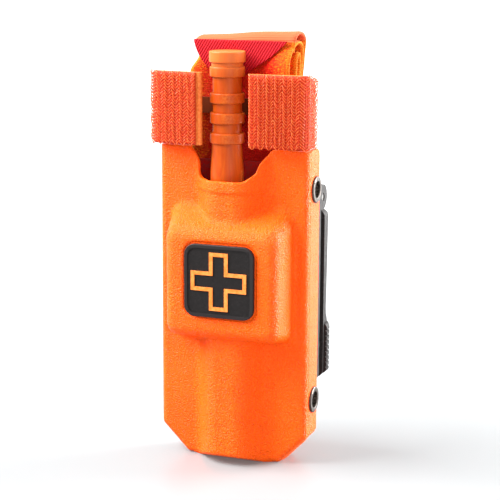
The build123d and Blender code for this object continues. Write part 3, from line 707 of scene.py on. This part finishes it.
def case_shells():
    """The two halves of the case."""
    room = 1.5
    low = (-CASE_HALF - room, PANEL_FRONT - room, -room)
    high = (CASE_HALF + room, CASE_BACK + room, CASE_HEIGHT + room)
    front = moulded("case_front", front_shell_field, low, high, 0.6, "case", CASE)
    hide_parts("front_shell")
    low = (-CASE_HALF, CASE_FRONT, -room)
    high = (CASE_HALF, BULGE_BACK + room, CASE_HEIGHT + room)
    back = moulded("case_back", back_shell_field, low, high, 0.7, "case", CASE)
    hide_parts("back_shell")


# ---- Soft strips --------------------------------------------------------------
def smooth_path(points, spacing):
    """Even samples of a smooth curve through points of any dimension."""
    points = np.asarray(points, float)
    ends = np.vstack([2 * points[0] - points[1], points, 2 * points[-1] - points[-2]])
    fine = 0.25
    samples = []
    for a, b, c, d in zip(ends, ends[1:], ends[2:], ends[3:]):
        count = max(2, int(np.linalg.norm((c - b)[:2]) / fine))
        t = np.linspace(0, 1, count, endpoint=False)[:, None]
        samples.append(0.5 * (2 * b + (c - a) * t + (2 * a - 5 * b + 4 * c - d) * t ** 2
                              + (3 * b - a - 3 * c + d) * t ** 3))
    samples.append(points[-1:])
    line = np.vstack(samples)
    length = np.concatenate([[0], np.cumsum(np.linalg.norm(np.diff(line[:, :2], axis=0), axis=1))])
    wanted = np.linspace(0, length[-1], max(2, int(length[-1] / spacing) + 1))
    return np.stack([np.interp(wanted, length, column) for column in line.T], -1), length[-1]


def strip_faces(rows, columns):
    """The faces of a closed strip: a front grid, a back grid, and the edges between."""
    size = rows * columns
    faces = []
    for i in range(rows - 1):
        for j in range(columns - 1):
            a = i * columns + j
            faces.append((a, a + 1, a + columns + 1, a + columns))
            faces.append((size + a, size + a + columns, size + a + columns + 1, size + a + 1))
        a, b = i * columns, (i + 1) * columns
        faces.append((a, b, size + b, size + a))
        a, b = a + columns - 1, b + columns - 1
        faces.append((a, size + a, size + b, b))
    for j in range(columns - 1):
        faces.append((j, size + j, size + j + 1, j + 1))
        a = (rows - 1) * columns + j
        faces.append((a, a + 1, size + a + 1, size + a))
    return faces


def closed_strip(name, centre, side, across, thickness, body, material, along):
    """A strip of tape from a grid of centre points and the directions of its front face.

    centre and side are arrays of rows by columns by 3. across and along are the flat
    sizes, in millimetres, that its weave follows.
    """
    rows, columns = centre.shape[:2]
    # The tape thins over the last half millimetre at its edges.
    from_edge = across[-1] - np.abs(across)
    share = 1 - 0.55 * np.clip(1 - from_edge / 0.5, 0, 1) ** 2
    half = side * (thickness / 2 * share)[None, :, None]
    points = np.concatenate([(centre + half).reshape(-1, 3), (centre - half).reshape(-1, 3)])
    flat = np.stack(np.meshgrid(along, across, indexing="ij"), -1)[..., ::-1].reshape(-1, 2)
    uv = np.concatenate([flat, flat]) * MM
    return build_mesh(name, points, strip_faces(rows, columns), body, material, uv)


def normals_of(line):
    """The unit normals of a plane curve, to the left of its run."""
    run = np.gradient(line, axis=0)
    run /= np.linalg.norm(run, axis=1)[:, None]
    return np.stack([-run[:, 1], run[:, 0]], -1)


# The folded band's path: (y, z, how far its right-hand edge leans forward, how far up
# the right-hand edge is tilted). It starts in the buckle and ends behind the tab.
BAND_PATH = [
    (2.55, 21.5, 0, 0), (3.3, 26.0, 0, 0), (3.6, 32.0, 0, 0), (3.2, 40.0, 0, 0),
    (2.75, 60.0, 0, 0), (2.7, 81.0, 0, 0), (2.6, 100.0, 0, 0), (2.5, 116.0, 0, 0),
    (2.5, 126.0, 0.2, 0), (2.5, 133.0, 2.2, 0.2), (2.6, 139.0, 4.4, 0.5),
    (3.0, 143.8, 4.3, 0.8), (4.9, 147.8, 3.6, 1.0), (8.2, 149.6, 1.6, 1.3),
    (11.2, 148.5, 0.3, 1.2), (12.6, 145.4, 0, 0.8), (12.2, 141.8, 0, 0.5),
    (10.9, 137.0, 0, 0.2), (9.3, 130.6, 0, 0), (7.6, 122.0, 0, 0), (6.7, 113.0, 0, 0),
    (6.55, 100.0, 0, 0), (6.5, 60.0, 0, 0), (6.5, 20.0, 0, 0), (6.4, 16.6, 0, 0),
    (5.8, 15.4, 0, 0), (5.2, 16.6, 0, 0), (5.2, 20.0, 0, 0), (5.2, 60.0, 0, 0),
    (5.2, 100.0, 0, 0), (5.3, 112.0, 0, 0), (6.1, 121.0, 0, 0), (7.8, 130.0, 0, 0),
    (9.3, 136.5, 0, 0.2), (10.3, 141.6, 0, 0.4), (10.1, 145.0, 0, 0.6),
    (8.7, 146.5, 0, 0.8), (7.2, 145.4, 0, 0.8), (6.6, 142.0, 0.2, 0.5),
    (6.4, 137.0, 0.3, 0.2), (5.5, 130.0, 0, 0), (4.4, 121.5, 0, 0), (3.95, 112.0, 0, 0),
    (3.9, 100.0, 0, 0), (3.9, 60.0, 0, 0), (4.7, 36.0, 0, 0), (4.7, 20.0, 0, 0),
    (4.4, 14.5, 0, 0), (5.2, 12.6, 0, 0), (6.4, 12.4, 0, 0), (7.6, 13.6, 0, 0),
    (7.85, 17.0, 0, 0), (7.85, 60.0, 0, 0), (7.85, 100.0, 0, 0), (8.0, 115.0, 0, 0),
    (9.1, 123.0, 0, 0), (11.2, 131.0, 0, 0), (12.9, 137.5, 0, 0.3),
    (14.4, 143.2, 0, 0.8), (14.5, 148.0, 0, 1.1), (13.0, 151.3, 0, 1.2),
    (9.6, 153.1, 0, 1.2), (5.6, 153.3, 0, 1.2), (2.7, 152.4, 0, 1.0),
    (1.85, 150.4, 0, 0.5), (1.95, 147.6, 0, 0.2),
]


def outer_band():
    """The loop-faced band, folded into the case, with its loops standing out of the top."""
    path, length = smooth_path(BAND_PATH, 0.9)
    normal = normals_of(path[:, :2])
    across = np.linspace(-WEBBING_HALF, WEBBING_HALF, 41)
    share = ease(across, 4.0, WEBBING_HALF) + 0.35 * ease(-across, 6.0, WEBBING_HALF)
    tilt = across / WEBBING_HALF
    rows = len(path)
    ripple = np.random.default_rng(7).normal(0, 1, (rows, 3))
    window = np.hanning(15)
    window = window / window.sum()
    ripple = np.stack([np.convolve(column, window, "same") for column in ripple.T], -1)
    above = ease(path[:, 1], 118, 140)[:, None]
    wave = above * (0.5 * ripple[:, :1] * np.cos(across / 5.5)
                    + 0.4 * ripple[:, 1:2] * np.sin(across / 3.8))
    centre = np.zeros((rows, len(across), 3))
    depth, height, lean, rise = path[:, 0:1], path[:, 1:2], path[:, 2:3], path[:, 3:4]
    # Near the crest the left edge draws in and the right edge stands out.
    left_in = 2.6 * ease(height, 140.5, 146.8) - 1.1 * ease(height, 148.0, 152.0)
    right_out = ease(height, 144.0, 152.0)
    centre[..., 0] = (across + left_in * ease(-across, 0, WEBBING_HALF)
                      + right_out * ease(across, 0, WEBBING_HALF))
    centre[..., 1] = depth - lean * share + wave * normal[:, :1]
    centre[..., 2] = height + rise * tilt + wave * normal[:, 1:2]
    side = np.zeros_like(centre)
    side[..., 1:] = normal[:, None]
    along = np.linspace(0, length, rows)
    band = closed_strip("folded_band", centre, side, across, WEBBING_THICK, "tourniquet", BAND, along)
    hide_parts("outer_band")


# The tab's outline below its top edge, from left to right, as (x, z).
TAB_LEFT, TAB_RIGHT, TAB_TOP = -17.8, 17.6, 151.7
TAB_HALF_THICK = 0.45
TAB_WEAVE_START = 136.0
TAB_EDGE = [(-17.8, 151.7), (-16.4, 147.7), (-14.3, 144.3), (-11.6, 141.5), (-8.2, 138.6),
            (-4.3, 136.9), (-0.6, 138.3), (4.5, 141.6), (11.4, 146.1), (17.6, 151.7)]


def tip_tab():
    """The crimson tab that hangs in front of the loops."""
    edge, _ = smooth_path(TAB_EDGE, 0.4)
    rows, columns = 26, 60
    across = np.linspace(TAB_LEFT + 0.3, TAB_RIGHT - 0.3, columns)
    low = np.interp(across, edge[:, 0], edge[:, 1])
    down = np.linspace(0, 1, rows)[:, None]
    height = TAB_TOP - (TAB_TOP - low) * down
    drop = TAB_TOP - height
    bow = 0.012 * (drop - 7) ** 2 * 0.3
    wave = 0.12 * np.sin(across / 4.2 + 0.6)
    centre = np.zeros((rows, columns, 3))
    centre[..., 0] = across
    centre[..., 1] = 0.55 + bow + wave
    centre[..., 2] = height
    forward = np.array([0, -TAB_HALF_THICK, 0])
    points = np.concatenate([(centre + forward).reshape(-1, 3), (centre - forward).reshape(-1, 3)])
    flat = np.stack([np.broadcast_to(across, height.shape), height - TAB_WEAVE_START], -1)
    flat = flat.reshape(-1, 2)
    tab = build_mesh("red_tab", points, strip_faces(rows, columns), "tourniquet", TAB,
                     np.concatenate([flat, flat]) * MM)
    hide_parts("band_tip_tab")


def inner_ribbon():
    """The narrow ribbon that runs through the rod's slot and round the plate."""
    rod_low, rod_high = node_box("windlass_rod")
    rod_x, rod_y = (rod_low[0] + rod_high[0]) / 2, (rod_low[1] + rod_high[1]) / 2
    low, high = node_box("internal_band")
    half, rear = high[0] - 0.4, high[1] - 0.4
    path, length = smooth_path([
        (rod_x + 1.0, rear + 0.75), (half - 3, rear + 0.7), (half - 0.6, rear), (half, 1.2),
        (half, -2.5), (half - 1.6, rod_y + 1.1), (rod_x + 7.0, rod_y), (rod_x, rod_y),
        (rod_x - 6.6, rod_y), (-half + 1.4, rod_y + 1.1), (-half, -2.5), (-half, 1.2),
        (-half + 0.6, rear), (-half + 3, rear), (rod_x + 1.0, rear - 0.05), (half - 4, rear - 0.1),
    ], 0.6)
    normal = normals_of(path)
    tall = np.linspace(-RIBBON_WIDTH / 2, RIBBON_WIDTH / 2, 17)
    middle = (low[2] + high[2]) / 2
    centre = np.zeros((len(path), len(tall), 3))
    centre[..., :2] = path[:, None]
    centre[..., 2] = middle + tall
    side = np.zeros_like(centre)
    side[..., :2] = normal[:, None]
    ribbon = closed_strip("inner_ribbon", centre, side, tall, RIBBON_THICK, "tourniquet", RIBBON,
                          np.linspace(0, length, len(path)))
    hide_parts("internal_band")


# ---- Lever springs ---------------------------------------------------------------
def lever_spring(side):
    """The bent strip behind a release lever, which closes up as the lever is pressed."""
    node = "lever_spring_" + side
    spring = bpy.data.objects.new("bent_spring_" + side, NODES[node].data.copy())
    spring.matrix_world = NODES[node].matrix_world
    spring.data.materials.clear()
    spring.data.materials.append(SPRING)
    bpy.context.scene.collection.objects.link(spring)
    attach(spring, "belt_leaf")
    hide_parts(node)
    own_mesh(spring)


# ---- Hook patches --------------------------------------------------------------
HOLDER_LOW, HOLDER_HIGH = node_box("windlass_clip")
# The steps from column to column and from hook to hook, then half of what a hook spans
# along the tape and up it, and how high it stands.
HOOK_COLUMN = 1.55
HOOK_PITCH = 1.1
HOOK_LEAN = 0.62
HOOK_RISE = 0.85
HOOK_HEIGHT = 0.95
HOOK_OVERHANG = 0.3
HOOK_RADIUS = 0.16
# How far the tape's middle, and the hooks' roots, stand out from the wing's face.
TAPE_MIDDLE = 0.4
HOOK_ROOT = 0.7
# One hook's arch, as shares of its length and of its height.
HOOK_ARCH = [(0.0, 0.0), (0.12, 0.6), (0.45, 0.95), (0.8, 1.0), (1.0, 0.72)]
# The wings' top edges fall towards the rear by this slope, from this depth on.
SHOULDER_FRONT = -9.5
SHOULDER_SLOPE = 0.455
LEFT_WING_INNER = 11.6
RIGHT_WING_INNER = 8.3


def patch_path(side, inner_x):
    """The outer face of one wing seen from above: along the front, round the corner, back."""
    half = HOLDER_HIGH[0]
    tip_x, tip_y = 9.0, HOLDER_LOW[1]
    corner_y, radius, rear = tip_y + 1.3, 3.2, -3.4
    slope = (corner_y - tip_y) / (half - tip_x)
    inner_y = tip_y + slope * (inner_x - tip_x)
    turn_x, turn_y = half - radius, corner_y + radius
    arc = [(turn_x + radius * math.sin(a), turn_y - radius * math.cos(a))
           for a in np.radians([4, 20, 35, 50, 65, 80, 90])]
    points = [(inner_x, inner_y), ((inner_x + turn_x) / 2, (inner_y + corner_y) / 2)]
    points += arc + [(half, (turn_y + rear) / 2), (half, rear)]
    return [(side * x, y) for x, y in points]


def tube(points, radius, sides=5):
    """The points and faces of a thin round filament."""
    points = np.asarray(points, float)
    run = np.gradient(points, axis=0)
    run /= np.linalg.norm(run, axis=1)[:, None]
    spare = np.array([0.31, 0.17, 0.94])
    a = np.cross(run, spare)
    a /= np.linalg.norm(a, axis=1)[:, None]
    b = np.cross(run, a)
    turn = np.linspace(0, 2 * math.pi, sides, endpoint=False)
    ring = radius * (np.cos(turn)[None, :, None] * a[:, None]
                     + np.sin(turn)[None, :, None] * b[:, None])
    made = (points[:, None] + ring).reshape(-1, 3)
    faces = []
    for i in range(len(points) - 1):
        for j in range(sides):
            k = (j + 1) % sides
            faces.append((i * sides + j, i * sides + k, (i + 1) * sides + k, (i + 1) * sides + j))
    faces.append(tuple(range(sides - 1, -1, -1)))
    last = (len(points) - 1) * sides
    faces.append(tuple(range(last, last + sides)))
    return made, faces


def hook_patch(name, node, side, inner_x):
    """Hook tape round one wing: woven ground, with rows of arched hooks in herringbone."""
    path, length = smooth_path(patch_path(side, inner_x), 0.8)
    normal = normals_of(path) * -side
    low, high = HOLDER_LOW[2], HOLDER_HIGH[2]
    tall = np.linspace((low - high) / 2, (high - low) / 2, 27)
    top = high - SHOULDER_SLOPE * np.maximum(path[:, 1] - SHOULDER_FRONT, 0)
    centre = np.zeros((len(path), len(tall), 3))
    centre[..., :2] = (path + normal * TAPE_MIDDLE)[:, None]
    centre[..., 2] = low + (top - low)[:, None] * np.linspace(0, 1, len(tall))
    face = np.zeros_like(centre)
    face[..., :2] = normal[:, None]
    along = np.linspace(0, length, len(path))
    ground = closed_strip(name, centre, face, tall, HOOK_TAPE_THICK, "tourniquet", HOOK_TAPE, along)
    rng = random.Random(11 + (side > 0))
    points, faces = [], []
    columns = int(length / HOOK_COLUMN)
    for column in range(columns + 1):
        lean = 1 if column % 2 else -1
        middle = (column + 0.5) * length / (columns + 1)
        for row in range(int((high - low) / HOOK_PITCH)):
            height = low + (row + 0.5) * HOOK_PITCH + rng.uniform(-0.12, 0.12)
            reach = HOOK_LEAN * rng.uniform(0.85, 1.15)
            start = middle - reach + rng.uniform(-0.1, 0.1)
            rise = HOOK_HEIGHT * rng.uniform(0.8, 1.2)
            line = []
            for share, up in HOOK_ARCH:
                run = np.clip(start + 2 * reach * share, 0, length)
                base = np.array([np.interp(run, along, path[:, i]) for i in (0, 1)])
                out = np.array([np.interp(run, along, normal[:, i]) for i in (0, 1)])
                spot = base + out * (HOOK_ROOT + rise * up)
                z = height + lean * HOOK_RISE * (2 * share - 1)
                limit = np.interp(run, along, top) + HOOK_OVERHANG
                line.append((spot[0], spot[1], min(max(z, low - HOOK_OVERHANG), limit)))
            made, quads = tube(line, HOOK_RADIUS)
            offset = sum(len(p) for p in points)
            points.append(made)
            faces += [tuple(offset + i for i in quad) for quad in quads]
    hooks = build_mesh(name + "_hooks", np.concatenate(points), faces, "tourniquet", HOOKS)
    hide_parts(node)


# ---- Studio --------------------------------------------------------------------
# Each lamp: its name, its place and its size in metres, and its power in watts.
LAMPS = [
    ("right_softbox", (0.72, 0.64, 0.30), (0.5, 0.6), 44.0),
    ("key_softbox", (-0.72, -0.26, 0.78), (0.85, 0.85), 55.0),
    ("front_fill", (0.90, -1.10, 0.50), (1.0, 1.0), 13.0),
    ("top_softbox", (0.05, 0.12, 1.0), (0.8, 0.8), 7.0),
]
LAMP_AIM = Vector((0, 0, 0.08))
ROOM_COLOUR = (1.0, 0.99, 0.98, 1)
ROOM_STRENGTH = 0.52

# The photo's camera, solved from the case's straight edges, in degrees and millimetres.
CAMERA_AZIMUTH = 20.35
CAMERA_ELEVATION = 11.81
CAMERA_ROLL = -0.28
CAMERA_AIM = (6.53, CASE_FRONT, 78.33)
CAMERA_DISTANCE = 549.2
CAMERA_LENS = 111.37
CAMERA_SENSOR = 36


def studio():
    """A pale floor that sweeps up into a wall, soft lights and a bright room."""
    half, near, wall_y, wall_top, sweep = 2.5, -3.0, 1.2, 2.2, 0.5
    profile = [(near, 0.0)]
    profile += [(wall_y - sweep + sweep * math.sin(a), sweep - sweep * math.cos(a))
                for a in np.linspace(0, math.pi / 2, 24)]
    profile.append((wall_y, wall_top))
    corners = [(x, y, z) for y, z in profile for x in (-half, half)]
    faces = [(2 * i, 2 * i + 1, 2 * i + 3, 2 * i + 2) for i in range(len(profile) - 1)]
    mesh = bpy.data.meshes.new("floor")
    mesh.from_pydata(corners, [], faces)
    mesh.polygons.foreach_set("use_smooth", [True] * len(faces))
    mesh.materials.append(floor_paper())
    floor = bpy.data.objects.new("floor", mesh)
    bpy.context.scene.collection.objects.link(floor)
    world = bpy.data.worlds.new("room")
    world.use_nodes = True
    bright = world.node_tree.nodes["Background"]
    bright.inputs["Color"].default_value = ROOM_COLOUR
    bright.inputs["Strength"].default_value = ROOM_STRENGTH
    bpy.context.scene.world = world
    for name, place, size, power in LAMPS:
        lamp = bpy.data.lights.new(name, "AREA")
        lamp.shape = "RECTANGLE"
        lamp.size, lamp.size_y = size
        lamp.energy = power
        holder = bpy.data.objects.new(name, lamp)
        holder.location = place
        holder.rotation_euler = (LAMP_AIM - Vector(place)).to_track_quat("-Z", "Y").to_euler()
        bpy.context.scene.collection.objects.link(holder)
    bpy.context.scene.view_settings.view_transform = "Standard"


def camera():
    """A long lens, a little to the right of the front and above."""
    azimuth, elevation = math.radians(CAMERA_AZIMUTH), math.radians(CAMERA_ELEVATION)
    roll = math.radians(CAMERA_ROLL)
    back = Vector((math.sin(azimuth) * math.cos(elevation),
                   -math.cos(azimuth) * math.cos(elevation), math.sin(elevation)))
    level = Vector((math.cos(azimuth), math.sin(azimuth), 0))
    above = back.cross(level)
    right = level * math.cos(roll) - above * math.sin(roll)
    up = level * math.sin(roll) + above * math.cos(roll)
    place = (Vector(CAMERA_AIM) + back * CAMERA_DISTANCE) * MM
    lens = bpy.data.cameras.new("camera")
    lens.sensor_width = CAMERA_SENSOR
    lens.lens = CAMERA_LENS
    lens.clip_start = 0.01
    seer = bpy.data.objects.new("camera", lens)
    turn = Matrix((right, up, back)).transposed().to_4x4()
    seer.matrix_world = Matrix.Translation(place) @ turn
    bpy.context.scene.collection.objects.link(seer)
    bpy.context.scene.camera = seer


# ---- The whole model -------------------------------------------------------------
camera()
studio()
finish_nodes()
case_shells()
outer_band()
tip_tab()
inner_ribbon()
lever_spring("right")
lever_spring("left")
hook_patch("hook_tape_left", "hook_patch_left", -1, LEFT_WING_INNER)
hook_patch("hook_tape_right", "hook_patch_right", 1, RIGHT_WING_INNER)
